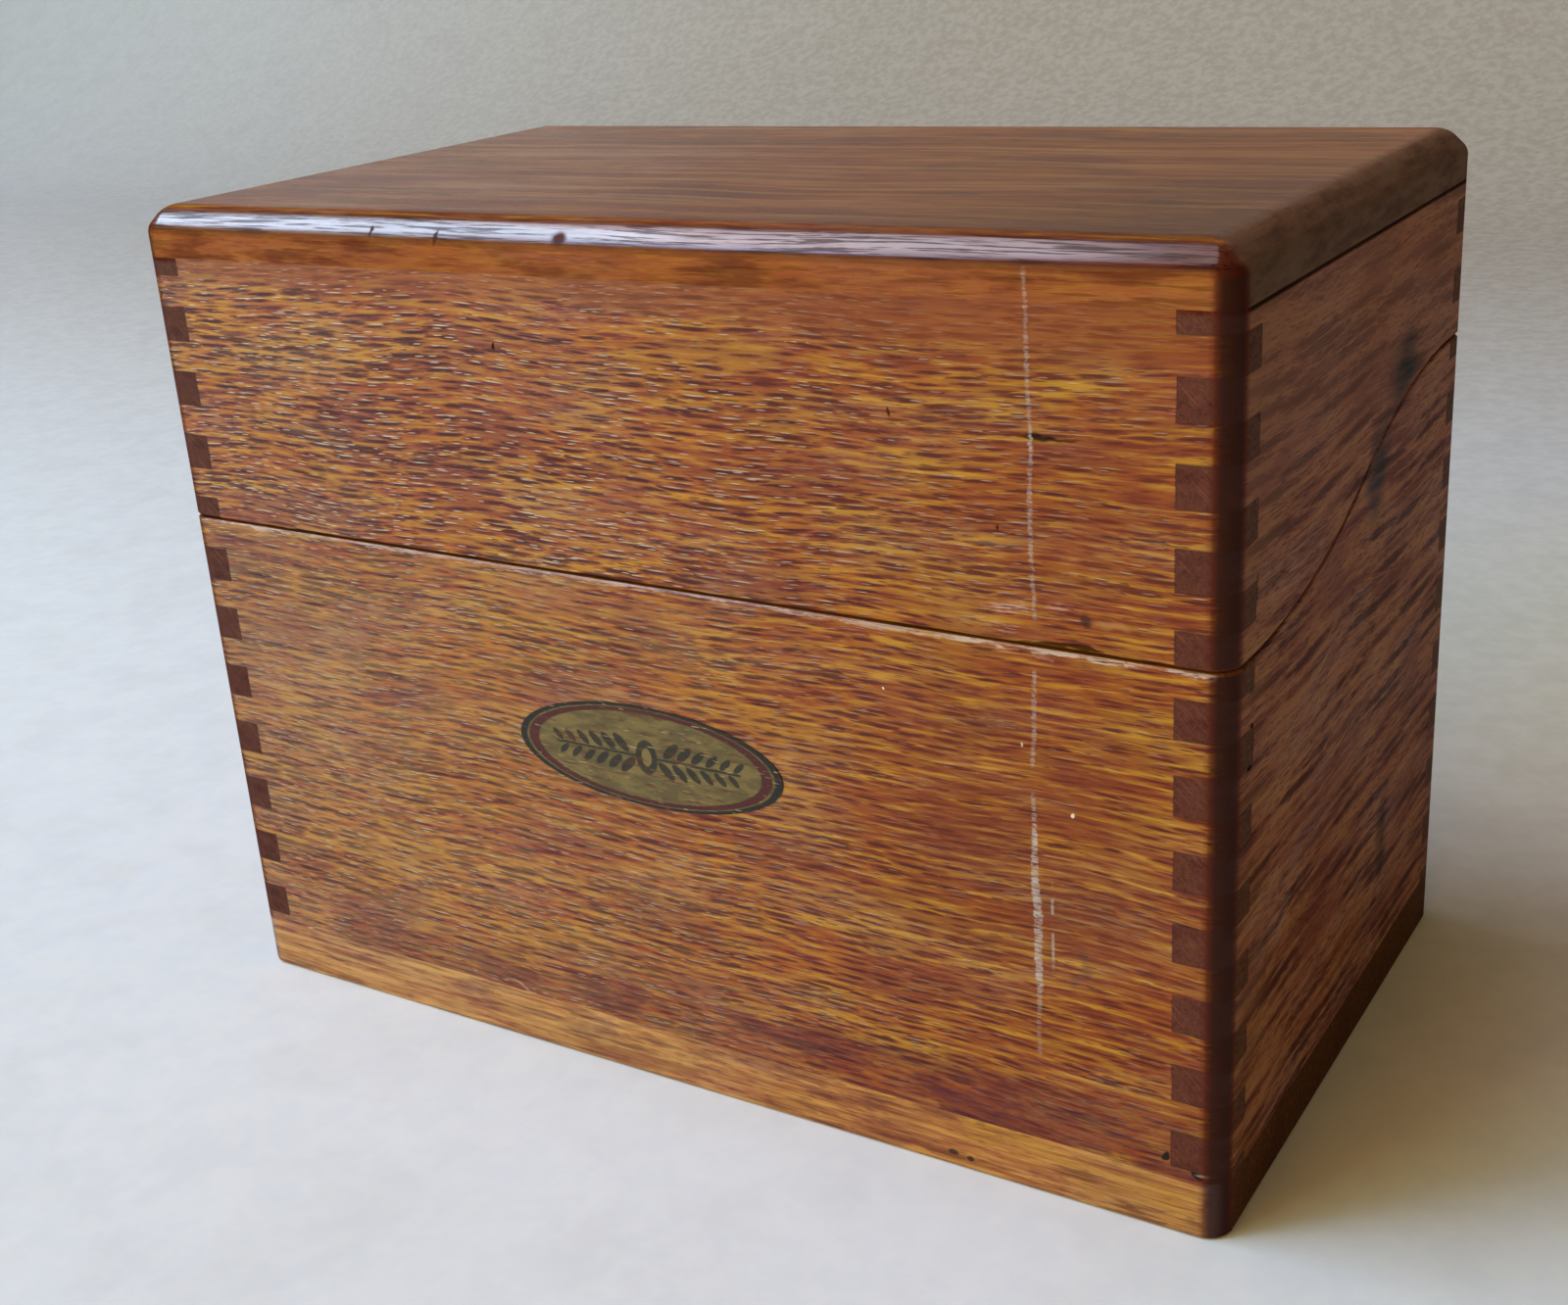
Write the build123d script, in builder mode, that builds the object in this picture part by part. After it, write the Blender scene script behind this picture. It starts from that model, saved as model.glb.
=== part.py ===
"""Finger-jointed oak card box.

A case of four boards with a board glued on top and one below, sawn apart into a base and a lid.
The saw runs level across the front and sweeps up to the back along each side. The lid turns on
two brass butt hinges whose leaves are let into the back edge.

Millimetres. X runs left to right, Y front to back, Z up. The origin is the centre of the
bounding box on the surface that the box stands on.
"""

from build123d import *

import os
from math import atan, degrees, hypot, sin, sqrt

os.makedirs("parts", exist_ok=True)

# Case
WIDTH = 144.0
DEPTH = 83.0
HEIGHT = 108.0
WALL = 6.0
TOP_THICKNESS = 6.2
BOTTOM_THICKNESS = 7.2
CORNER_RADIUS = 3.0
TOP_BEVEL = 2.6
BEVEL_UPPER_RADIUS = 3.6
BEVEL_LOWER_RADIUS = 1.9
FOOT_RADIUS = 0.5

# Finger joints: the side boards' fingers, and the gaps that the front and back boards fill
PITCH = 8.4
FINGER = 4.4
BASE_FINGERS_FROM = 8.55
LID_FINGERS_FROM = 66.0

# Saw cut between base and lid: heights of the base's edge, and the width of the closed seam
SEAM_LEFT = 67.4
SEAM_RIGHT = 66.3
SEAM_BACK = 82.45
SEAM_GAP = 0.35
SEAM_EASE = 0.2

# Butt hinges
HINGE_X = 44.0
HINGE_LENGTH = 22.0
LEAF_DEPTH = 4.8
LEAF_THICKNESS = 0.8
KNUCKLE_RADIUS = 1.3
KNUCKLE_LENGTH = 7.2
KNUCKLE_GAP = 0.2
PIN_RADIUS = 0.6
PIN_HEAD_RADIUS = 0.9
PIN_HEAD_LENGTH = 0.4
PIN_HEAD_ROUND = 0.25
PIN_SETBACK = 1.4
RUNNING_CLEARANCE = 0.05
MORTISE_CLEARANCE = 0.05

# Countersunk slotted screws
SCREW_X = 6.6
SCREW_SETBACK = 2.6
SCREW_LENGTH = 6.5
SCREW_HOLE_DEPTH = 6.8
SCREW_SINK = 0.03
HEAD_RADIUS = 1.25
HEAD_DEPTH = 0.5
SHANK_RADIUS = 0.75
SCREW_TIP = 1.2
SLOT_WIDTH = 0.35
SLOT_DEPTH = 0.25
SLOT_ANGLES = (15, 70, -40, 25)
SCREW_CLEARANCE = 0.03
COUNTERSINK_ANGLE = 90

# Transfer on the front
TRANSFER_WIDTH = 38.0
TRANSFER_HEIGHT = 13.0
TRANSFER_THICKNESS = 0.12
TRANSFER_CENTRE = (0.4, 45.2)

# Places that follow from these
BARREL_REACH = PIN_SETBACK + KNUCKLE_RADIUS
FRONT = TRANSFER_THICKNESS - (DEPTH + BARREL_REACH + TRANSFER_THICKNESS) / 2
BACK = FRONT + DEPTH
MIDDLE = (FRONT + BACK) / 2
WALL_TOP = HEIGHT - TOP_THICKNESS
SWEEP_RUN = DEPTH - 2 * WALL
PIN_Y = BACK + PIN_SETBACK
PIN_Z = SEAM_BACK + SEAM_GAP / 2
SIDES = {"left": (-1, SEAM_LEFT), "right": (1, SEAM_RIGHT)}
HINGES = {"left": -HINGE_X, "right": HINGE_X}


def finger_spans(first, low, high):
    """Heights of the side boards' fingers from low to high, the first one starting at first."""
    spans = []
    bottom = first
    while bottom < high:
        if bottom + FINGER > low:
            spans.append((max(bottom, low), min(bottom + FINGER, high)))
        bottom += PITCH
    return spans


def sweep_of(front_height):
    """Turn and radius of the two equal arcs that rise from the front height to the back height."""
    turn = 2 * atan((SEAM_BACK - front_height) / SWEEP_RUN)
    return turn, SWEEP_RUN / (2 * sin(turn))


def seam_height(x, y):
    """Height of the base's sawn edge above a point of the plan."""
    front_height = SEAM_RIGHT + (SEAM_LEFT - SEAM_RIGHT) * (0.5 - x / WIDTH)
    radius = sweep_of(front_height)[1]
    along = min(max(y - FRONT - WALL, 0), SWEEP_RUN)
    if along < SWEEP_RUN / 2:
        return front_height + radius - sqrt(radius**2 - along**2)
    return SEAM_BACK - radius + sqrt(radius**2 - (SWEEP_RUN - along) ** 2)


def seam_arrises(board, lift):
    """The board's outer edges along the seam."""
    found = []
    for edge in board.edges():
        at = edge @ 0.5
        dx = max(abs(at.X) - WIDTH / 2 + CORNER_RADIUS, 0)
        dy = max(abs(at.Y - MIDDLE) - DEPTH / 2 + CORNER_RADIUS, 0)
        outside = abs(hypot(dx, dy) - CORNER_RADIUS) < 0.02
        if outside and abs(at.Z - seam_height(at.X, at.Y) - lift) < 0.06:
            found.append(edge)
    return found


def case_outline():
    """The case's plan, with its rounded corners."""
    with Locations((0, MIDDLE)):
        RectangleRounded(WIDTH, DEPTH, CORNER_RADIUS)


def round_the_corners():
    """Keep what lies inside the case's rounded outline."""
    with BuildSketch(Plane.XY) as outline:
        case_outline()
    extrude(outline.sketch, amount=HEIGHT, mode=Mode.INTERSECT)


def notch_the_ends(spans):
    """Open both ends of a front or back board for the side boards' fingers."""
    for low, high in spans:
        with Locations((-WIDTH / 2, low), (WIDTH / 2, low)):
            Rectangle(2 * WALL, high - low, align=(Align.CENTER, Align.MIN), mode=Mode.SUBTRACT)


def end_fingers(front_spans, back_spans):
    """Add a side board's fingers at its front and back ends."""
    for y, spans, toward in ((FRONT + WALL, front_spans, Align.MAX), (BACK - WALL, back_spans, Align.MIN)):
        for low, high in spans:
            with Locations((y, low)):
                Rectangle(WALL, high - low, align=(toward, Align.MIN))


def swept_edge(front_height, lift):
    """Two arcs from the front board to the back board, in the side board's plane, and their end."""
    turn, radius = sweep_of(front_height)
    start = (FRONT + WALL, front_height + lift)
    lower = JernArc(start=start, tangent=(1, 0), radius=radius, arc_size=degrees(turn))
    upper = JernArc(start=lower @ 1, tangent=lower % 1, radius=radius, arc_size=-degrees(turn))
    return upper @ 1


def screw_points(height):
    """Where the screws' heads lie, two to a leaf."""
    return [(x + side * SCREW_X, BACK - SCREW_SETBACK, height) for x in HINGES.values() for side in (-1, 1)]


def bed_the_hinges(leaf_floor, hole_floor):
    """Cut a bed for each leaf in the back board's sawn edge, and a hole for each screw."""
    bed = (HINGE_LENGTH + 2 * MORTISE_CLEARANCE, LEAF_DEPTH + MORTISE_CLEARANCE, LEAF_THICKNESS)
    for x in HINGES.values():
        with Locations((x, BACK, leaf_floor)):
            Box(*bed, align=(Align.CENTER, Align.MAX, Align.MIN), mode=Mode.SUBTRACT)
    upright = (Align.CENTER, Align.CENTER, Align.MIN)
    with Locations(*screw_points(hole_floor)):
        Cylinder(SHANK_RADIUS + SCREW_CLEARANCE, SCREW_HOLE_DEPTH, align=upright, mode=Mode.SUBTRACT)


def shape_leaf(x, knuckles, bore_radius):
    """A base leaf, face up: its plate, its knuckles behind the back face, the bore and two screw holes."""
    with Locations((x, BACK, SEAM_BACK)):
        Box(HINGE_LENGTH, LEAF_DEPTH, LEAF_THICKNESS, align=(Align.CENTER, Align.MAX, Align.MAX))
    with Locations(*[(x + along, BACK, SEAM_BACK) for along in knuckles]):
        Box(KNUCKLE_LENGTH, PIN_SETBACK, LEAF_THICKNESS, align=(Align.CENTER, Align.MIN, Align.MAX))
    with Locations(*[(x + along, PIN_Y, PIN_Z) for along in knuckles]):
        Cylinder(KNUCKLE_RADIUS, KNUCKLE_LENGTH, rotation=(0, 90, 0))
    with Locations((x, PIN_Y, PIN_Z)):
        Cylinder(bore_radius, HINGE_LENGTH, rotation=(0, 90, 0), mode=Mode.SUBTRACT)
    with Locations(*[(x + side * SCREW_X, BACK - SCREW_SETBACK, SEAM_BACK) for side in (-1, 1)]):
        CounterSinkHole(
            SHANK_RADIUS + SCREW_CLEARANCE,
            HEAD_RADIUS + SCREW_CLEARANCE,
            depth=LEAF_THICKNESS,
            counter_sink_angle=COUNTERSINK_ANGLE,
        )


def finish(piece, name):
    """Label a finished piece and write its file."""
    piece.label = name
    export_step(piece, f"parts/{name}.step")


# Bottom board, under the walls and flush with them
with BuildPart() as bottom_board:
    with BuildSketch(Plane.XY):
        case_outline()
    extrude(amount=BOTTOM_THICKNESS)
    fillet(bottom_board.faces().sort_by(Axis.Z)[0].edges(), FOOT_RADIUS)
finish(bottom_board.part, "bottom_board")

# Top board, over the walls, with its upper edge bevelled by hand and both arrises softened
with BuildPart() as top_board:
    with BuildSketch(Plane.XY.offset(WALL_TOP)):
        case_outline()
    extrude(amount=TOP_THICKNESS)
    chamfer(top_board.faces().sort_by(Axis.Z)[-1].edges(), TOP_BEVEL)
    bevel_levels = top_board.edges().filter_by_position(Axis.Z, HEIGHT - TOP_BEVEL, HEIGHT - TOP_BEVEL)
    fillet(bevel_levels, BEVEL_LOWER_RADIUS)
    fillet(top_board.faces().sort_by(Axis.Z)[-1].edges(), BEVEL_UPPER_RADIUS)
finish(top_board.part, "top_board")

# Front board: a base half and a lid half, parted by a cut that falls a little to the right
with BuildPart() as base_front:
    with BuildSketch(Plane.XZ.offset(-FRONT)):
        with BuildLine():
            Polyline(
                (-WIDTH / 2, BOTTOM_THICKNESS),
                (WIDTH / 2, BOTTOM_THICKNESS),
                (WIDTH / 2, SEAM_RIGHT),
                (-WIDTH / 2, SEAM_LEFT),
                close=True,
            )
        make_face()
        notch_the_ends(finger_spans(BASE_FINGERS_FROM, BOTTOM_THICKNESS, SEAM_RIGHT))
    extrude(amount=-WALL)
    round_the_corners()
    chamfer(seam_arrises(base_front, 0), SEAM_EASE)
finish(base_front.part, "base_front")

with BuildPart() as lid_front:
    with BuildSketch(Plane.XZ.offset(-FRONT)):
        with BuildLine():
            Polyline(
                (-WIDTH / 2, SEAM_LEFT + SEAM_GAP),
                (WIDTH / 2, SEAM_RIGHT + SEAM_GAP),
                (WIDTH / 2, WALL_TOP),
                (-WIDTH / 2, WALL_TOP),
                close=True,
            )
        make_face()
        notch_the_ends(finger_spans(LID_FINGERS_FROM, LID_FINGERS_FROM, WALL_TOP))
    extrude(amount=-WALL)
    round_the_corners()
    chamfer(seam_arrises(lid_front, SEAM_GAP), SEAM_EASE)
finish(lid_front.part, "lid_front")

# Back board: a low lid half on a tall base half, both bedded and bored for the hinges
with BuildPart() as base_back:
    with BuildSketch(Plane.XZ.offset(-BACK)):
        with Locations((0, BOTTOM_THICKNESS)):
            Rectangle(WIDTH, SEAM_BACK - BOTTOM_THICKNESS, align=(Align.CENTER, Align.MIN))
        notch_the_ends(finger_spans(BASE_FINGERS_FROM, BOTTOM_THICKNESS, SEAM_BACK))
    extrude(amount=WALL)
    round_the_corners()
    chamfer(seam_arrises(base_back, 0), SEAM_EASE)
    bed_the_hinges(SEAM_BACK - LEAF_THICKNESS, SEAM_BACK - SCREW_HOLE_DEPTH)
finish(base_back.part, "base_back")

with BuildPart() as lid_back:
    with BuildSketch(Plane.XZ.offset(-BACK)):
        with Locations((0, SEAM_BACK + SEAM_GAP)):
            Rectangle(WIDTH, WALL_TOP - SEAM_BACK - SEAM_GAP, align=(Align.CENTER, Align.MIN))
        notch_the_ends(finger_spans(LID_FINGERS_FROM, SEAM_BACK + SEAM_GAP, WALL_TOP))
    extrude(amount=WALL)
    round_the_corners()
    chamfer(seam_arrises(lid_back, SEAM_GAP), SEAM_EASE)
    bed_the_hinges(SEAM_BACK + SEAM_GAP, SEAM_BACK + SEAM_GAP)
finish(lid_back.part, "lid_back")

# Side boards: fingers at both ends, and between them the sawn S curve
for name, (side, front_height) in SIDES.items():
    inner_face = Plane.YZ.offset(side * (WIDTH / 2 - WALL))

    with BuildPart() as base_side:
        with BuildSketch(inner_face):
            with BuildLine():
                crest = swept_edge(front_height, 0)
                Polyline(
                    crest,
                    (BACK - WALL, BOTTOM_THICKNESS),
                    (FRONT + WALL, BOTTOM_THICKNESS),
                    (FRONT + WALL, front_height),
                )
            make_face()
            end_fingers(
                finger_spans(BASE_FINGERS_FROM, BOTTOM_THICKNESS, SEAM_RIGHT),
                finger_spans(BASE_FINGERS_FROM, BOTTOM_THICKNESS, SEAM_BACK),
            )
        extrude(amount=side * WALL)
        round_the_corners()
        chamfer(seam_arrises(base_side, 0), SEAM_EASE)
    finish(base_side.part, f"base_{name}_side")

    with BuildPart() as lid_side:
        with BuildSketch(inner_face):
            with BuildLine():
                crest = swept_edge(front_height, SEAM_GAP)
                Polyline(
                    crest,
                    (BACK - WALL, WALL_TOP),
                    (FRONT + WALL, WALL_TOP),
                    (FRONT + WALL, front_height + SEAM_GAP),
                )
            make_face()
            end_fingers(
                finger_spans(LID_FINGERS_FROM, front_height + SEAM_GAP, WALL_TOP),
                finger_spans(LID_FINGERS_FROM, SEAM_BACK + SEAM_GAP, WALL_TOP),
            )
        extrude(amount=side * WALL)
        round_the_corners()
        chamfer(seam_arrises(lid_side, SEAM_GAP), SEAM_EASE)
    finish(lid_side.part, f"lid_{name}_side")

# Transfer on the front: a printed film in the shape of a plain oval
with BuildPart() as front_transfer:
    with BuildSketch(Plane.XZ.offset(-FRONT)):
        with Locations(TRANSFER_CENTRE):
            Ellipse(TRANSFER_WIDTH / 2, TRANSFER_HEIGHT / 2)
    extrude(amount=TRANSFER_THICKNESS)
finish(front_transfer.part, "front_transfer")

# Hinges: the base leaf holds the pin in its outer knuckles, and the lid leaf turns on it
seam_mirror = Plane.XY.offset(PIN_Z)
outer = KNUCKLE_LENGTH + KNUCKLE_GAP
for name, x in HINGES.items():
    with BuildPart() as base_leaf:
        shape_leaf(x, (-outer, outer), PIN_RADIUS)
    finish(base_leaf.part, f"hinge_{name}_base_leaf")

    with BuildPart() as lid_leaf:
        shape_leaf(x, (0,), PIN_RADIUS + RUNNING_CLEARANCE)
    finish(mirror(lid_leaf.part, about=seam_mirror), f"hinge_{name}_lid_leaf")

    with BuildPart() as pin:
        with Locations((x, PIN_Y, PIN_Z)):
            Cylinder(PIN_RADIUS, HINGE_LENGTH, rotation=(0, 90, 0))
        with Locations(*[(x + end * (HINGE_LENGTH + PIN_HEAD_LENGTH) / 2, PIN_Y, PIN_Z) for end in (-1, 1)]):
            Cylinder(PIN_HEAD_RADIUS, PIN_HEAD_LENGTH, rotation=(0, 90, 0))
        for end in (0, -1):
            fillet(pin.faces().sort_by(Axis.X)[end].edges(), PIN_HEAD_ROUND)
    finish(pin.part, f"hinge_{name}_pin")

# Screws, turned to rest at different angles
with BuildPart() as screw:
    with BuildSketch(Plane.XZ):
        with BuildLine():
            Polyline(
                (0, 0),
                (HEAD_RADIUS, 0),
                (SHANK_RADIUS, -HEAD_DEPTH),
                (SHANK_RADIUS, SCREW_TIP - SCREW_LENGTH),
                (0, -SCREW_LENGTH),
                close=True,
            )
        make_face()
    revolve(axis=Axis.Z)
    Box(2 * HEAD_RADIUS, SLOT_WIDTH, 2 * SLOT_DEPTH, mode=Mode.SUBTRACT)

with BuildPart() as base_hinge_screws:
    for point, angle in zip(screw_points(SEAM_BACK - SCREW_SINK), SLOT_ANGLES):
        with Locations(Location(point, (0, 0, angle))):
            add(screw.part)
finish(base_hinge_screws.part, "base_hinge_screws")
finish(mirror(base_hinge_screws.part, about=seam_mirror), "lid_hinge_screws")
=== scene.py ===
import math

import bmesh
import bpy
from mathutils import Matrix, Vector

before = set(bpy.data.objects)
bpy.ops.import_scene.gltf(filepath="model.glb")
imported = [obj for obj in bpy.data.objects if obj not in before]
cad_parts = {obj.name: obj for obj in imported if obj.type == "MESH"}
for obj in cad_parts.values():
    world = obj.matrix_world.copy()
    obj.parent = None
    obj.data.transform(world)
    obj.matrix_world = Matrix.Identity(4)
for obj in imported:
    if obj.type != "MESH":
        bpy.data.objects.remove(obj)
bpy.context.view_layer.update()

# ---------------------------------------------------------------------------------------------
# Bottom board. One plain oak board, sawn thin and planed with its grain along the box, glued flush
# under the four walls. It is paler and finer in the grain than they are, stained a warm gold and
# varnished with them, bare where it is the floor inside.

CASE_MIDDLE_Y = -0.00129
FRONT_FACE = -0.04279
INNER_HALF_WIDTH = 0.066
INNER_HALF_DEPTH = 0.0355
WALLS_FROM = 0.0072
WALLS_TO = 0.1018
HAIR = 0.0001  # one finish gives way to the next over about a hair's breadth
THROUGH = 0.02  # a mark on a face reaches this deep, so that it also takes in the softened edges
CORNER_DARKENING = 0.006
FLOOR_DARKENING = 0.007
PORE_HALF_DEPTH = 0.6  # like a pore's other sizes, in cells of its pattern


class Value:
    """A number, vector or colour that varies over a surface: arithmetic on it adds Math nodes."""

    def __init__(self, socket):
        self.socket = socket

    def node(self, kind, settings=None, inputs=None, output=0):
        """Add a node to this value's material: its settings first, then its sockets."""
        tree = self.socket.id_data
        node = tree.nodes.new(kind)
        for name, setting in (settings or {}).items():
            setattr(node, name, setting)
        for name, given in (inputs or {}).items():
            if isinstance(given, Value):
                tree.links.new(given.socket, node.inputs[name])
            else:
                node.inputs[name].default_value = given
        return Value(node.outputs[output])

    def output(self, name):
        """Another output of the node that this value comes from."""
        return Value(self.socket.node.outputs[name])

    def math(self, operation, *values):
        """What a Math node makes of these numbers and values."""
        return self.node("ShaderNodeMath", {"operation": operation}, dict(enumerate(values)))

    def __add__(self, other):
        return self.math("ADD", self, other)

    def __sub__(self, other):
        return self.math("SUBTRACT", self, other)

    def __rsub__(self, other):
        return self.math("SUBTRACT", other, self)

    def __mul__(self, other):
        return self.math("MULTIPLY", self, other)

    def __abs__(self):
        return self.math("ABSOLUTE", self)

    __radd__ = __add__
    __rmul__ = __mul__

    def least(self, other):
        """The smaller of two numbers."""
        return self.math("MINIMUM", self, other)

    def most(self, other):
        """The larger of two numbers."""
        return self.math("MAXIMUM", self, other)

    def eased(self, low, high):
        """0 at low, 1 at high and eased between; it falls instead where low is the higher."""
        limits = {"Value": self, "From Min": low, "From Max": high}
        return self.node("ShaderNodeMapRange", {"interpolation_type": "SMOOTHSTEP"}, limits)

    def part(self, axis):
        """One of a vector's parts, X, Y or Z, or one of a colour's in that order."""
        return self.node("ShaderNodeSeparateXYZ", None, {"Vector": self}, axis)

    def vector(self, operation, other):
        """Vector arithmetic with another vector."""
        return self.node("ShaderNodeVectorMath", {"operation": operation}, {0: self, 1: other})


def overlay(under, over, amount):
    """One colour laid over another by an amount from 0 to 1."""
    # The Mix node's colours are its inputs 6 and 7, and their mixture is its output 2
    return amount.node("ShaderNodeMix", {"data_type": "RGBA"}, {0: amount, 6: under, 7: over}, 2)


def colour(code):
    """A six-figure screen colour as linear light."""
    screen = [int(code[i : i + 2], 16) / 255 for i in (0, 2, 4)]
    return [s / 12.92 if s <= 0.04045 else ((s + 0.055) / 1.055) ** 2.4 for s in screen] + [1]


def empty_material(name):
    """A material with no shader yet, and the place on the piece that its patterns follow."""
    material = bpy.data.materials.new(name)
    material.use_nodes = True
    material.node_tree.nodes.clear()
    return material, Value(material.node_tree.nodes.new("ShaderNodeTexCoord").outputs["Object"])


def give_finish(material, place, finish):
    """Give a material its shader, set socket by socket."""
    shader = place.node("ShaderNodeBsdfPrincipled", None, finish)
    output = material.node_tree.nodes.new("ShaderNodeOutputMaterial")
    material.node_tree.links.new(shader.socket, output.inputs["Surface"])


def bumpy(height, strength, distance):
    """A surface that catches the light as if it stood up by its height, in `distance` metres."""
    settings = {"Height": height, "Strength": strength, "Distance": distance}
    return height.node("ShaderNodeBump", None, settings)


def drawn_out(place, grain, along, across, seed):
    """The place in a pattern whose cells are `along` metres with the grain and `across` over it."""
    scale = [1 / (along if axis == grain else across) for axis in "XYZ"]
    shift = (seed, seed * 1.7, seed * 0.6)
    mapping = {"Vector": place, "Location": shift, "Scale": scale}
    return place.node("ShaderNodeMapping", None, mapping)


def noise(place, grain, along, across, seed, detail=2, roughness=0.5):
    """Cloudy noise, from 0 to 1 and mostly near the middle, drawn out with the grain."""
    where = drawn_out(place, grain, along, across, seed)
    settings = {"Vector": where, "Scale": 1, "Detail": detail, "Roughness": roughness}
    return where.node("ShaderNodeTexNoise", None, settings)


def swayed(place, amount, size, seed, grain="X"):
    """The place, moved by cloudy noise by up to `amount` on each axis, over `size` metres."""
    cloud = noise(place, grain, size, size, seed, 1).output("Color")
    sway = cloud.vector("SUBTRACT", (0.5, 0.5, 0.5)).vector("MULTIPLY", [2 * a for a in amount])
    return place.vector("ADD", sway)


def pores(place, grain, along, across, seed):
    """Scattered pores, one to a cell: the way from each one's middle, in cells, and its lot."""
    where = drawn_out(place, grain, along, across, seed)
    cells = {"Vector": where, "Scale": 1, "Randomness": 0.85}
    middle = where.node("ShaderNodeTexVoronoi", None, cells, "Position")
    return where.vector("SUBTRACT", middle), middle.output("Color")


def far_from(place, at, reach):
    """How far a place is from a spot, in reaches: 1 at the edge of a spot of that size."""
    shrunk = place.vector("SUBTRACT", at).vector("DIVIDE", reach)
    return place.node("ShaderNodeVectorMath", {"operation": "LENGTH"}, {0: shrunk}, "Value")


def dash(way, grain, length, width, rise, into_board):
    """How far out a place lies in a pore of this half length and half width: 1 is its edge."""
    sizes = {grain: length, into_board: PORE_HALF_DEPTH}
    return far_from(way, (0, 0, rise), [sizes.get(axis, width) for axis in "XYZ"])


class Oak:
    """An oak board's surface, from the bare wood up to its varnish."""

    # The stain's tones, from where the wood took least of it to where the pores hold it
    GOLD = "bf8a24"
    ORANGE = "a0531b"
    RED = "70271c"
    PORE = "3c151b"

    # How far the grain wanders, and over what length
    WANDER = 0.0018
    WANDER_LENGTH = 0.04

    # The sizes of the grain's patterns, in metres along and across it
    BANDS = (0.05, 0.004)
    PATCHES = (0.009, 0.004)
    STREAKS = (0.012, 0.0007)
    FIBRES = (0.003, 0.00022)
    VEINS = (0.02, 0.0004)
    DEPTHS = (0.02, 0.007)
    PORES = (0.0046, 0.00095)
    FINE_PORES = (0.0021, 0.00048)
    MILKY = (0.022, 0.009)
    RINGS = (0.004, 0.0006)
    SPECKS = (0.0004, 0.00028)

    def __init__(
        self, node, grain, seed, tones=(GOLD, ORANGE, RED, PORE), pore_size=PORES, filled=1.0
    ):
        self.node = node
        self.grain = grain
        self.seed = seed
        self.material, self.place = empty_material(f"oak_{node}")
        facing = self.place.output("Normal")
        self.x, self.y, self.z = (self.place.part(axis) for axis in "XYZ")
        self.facing = {axis: facing.part(axis) for axis in "XYZ"}
        self.flat = {axis: abs(self.facing[axis]) for axis in "XYZ"}

        # The grain wanders a little from side to side, and lies in bands, patches, streaks and
        # fibres. Each pattern's seed is the board's, moved on by the pattern's own step
        into_board = "Z" if node in ("top_board", "bottom_board") else "XY".replace(grain, "")
        wander = [0.0 if axis in (grain, into_board) else self.WANDER for axis in "XYZ"]
        self.wood = swayed(self.place, wander, self.WANDER_LENGTH, seed, grain)
        self.bands = noise(self.wood, grain, *self.BANDS, seed + 1, 3, 0.55)
        self.patches = noise(self.wood, grain, *self.PATCHES, seed + 3, 2)
        self.streaks = noise(self.wood, grain, *self.STREAKS, seed + 2, 3, 0.65)
        self.fibres = noise(self.wood, grain, *self.FIBRES, seed + 4, 3, 0.7)

        # Its pores crowd in some patches and bands, and frayed fibres break up their outlines
        way, lot = pores(self.wood, grain, *pore_size, seed + 5)
        fine_way, fine_lot = pores(self.wood, grain, *self.FINE_PORES, seed + 6)
        frayed = (self.fibres - 0.5) * 2.0
        crowd = (self.patches - 0.5) * 0.8 + (self.bands - 0.5) * 1.1 - 0.06
        if grain == "X":
            crowd = crowd - self.x.eased(-0.01, 0.06) * 0.2
        far = dash(way, grain, 0.52, 0.27, 0.0, into_board) + frayed - crowd
        fine_far = dash(fine_way, grain, 0.5, 0.27, 0.0, into_board) + frayed - crowd

        # The stain is gold on hard wood, and orange to red where the wood was soft and drank it
        gold, orange, red, pore_stain = (colour(tone) for tone in tones)
        tone = self.bands * 0.18 + self.patches * 0.12 + self.streaks * 0.5 + self.fibres * 0.2
        tone = tone + (far.least(2.4) - 1.3) * 0.05
        self.surface = overlay(red, orange, tone.eased(0.39, 0.47))
        self.surface = overlay(self.surface, gold, tone.eased(0.46, 0.63))
        veins = noise(self.wood, grain, *self.VEINS, seed + 9, 2)
        self.surface = overlay(self.surface, red, veins.eased(0.56, 0.66) * 0.5)

        # It went deeper in some parts, plum-coloured, and left others yellow
        depth = noise(self.wood, grain, *self.DEPTHS, seed + 10, 2)
        self.surface = overlay(self.surface, colour("6c2c2e"), depth.eased(0.5, 0.68) * 0.48)
        yellow = colour("b4892b") if grain == "X" else gold
        self.surface = overlay(self.surface, yellow, depth.eased(0.48, 0.34) * 0.38)

        # Pores that it has filled run in short lines, broken and staggered, each in a reddish halo
        self.surface = overlay(self.surface, red, far.eased(1.6, 0.8) * (0.7 * filled))
        pore = far.eased(1.15, 0.6) * lot.part("X").eased(0.0, 0.35)
        fine_pore = fine_far.eased(1.1, 0.6) * fine_lot.part("X").eased(0.1, 0.5)
        self.pore = pore.most(fine_pore * 0.8) * filled
        self.surface = overlay(self.surface, pore_stain, self.pore * 0.85)

        # Pale glints are painted along the upper lip of some pores: painted highlights on the
        # varnish
        lip = dash(way, grain, 0.4, 0.11, 0.25, into_board) + frayed * 0.4
        fine_lip = dash(fine_way, grain, 0.42, 0.16, 0.3, into_board) + frayed * 0.4
        flecked = lip.eased(1.1, 0.5) * lot.part("Y").eased(0.45, 0.75)
        flecked = flecked * lot.part("Z").eased(-0.3, 0.8)
        fine_glints = fine_lip.eased(1.1, 0.5) * fine_lot.part("Y").eased(0.5, 0.8)
        self.glints = flecked.most(fine_glints * 0.8) * crowd.eased(-0.45, -0.1)

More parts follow.
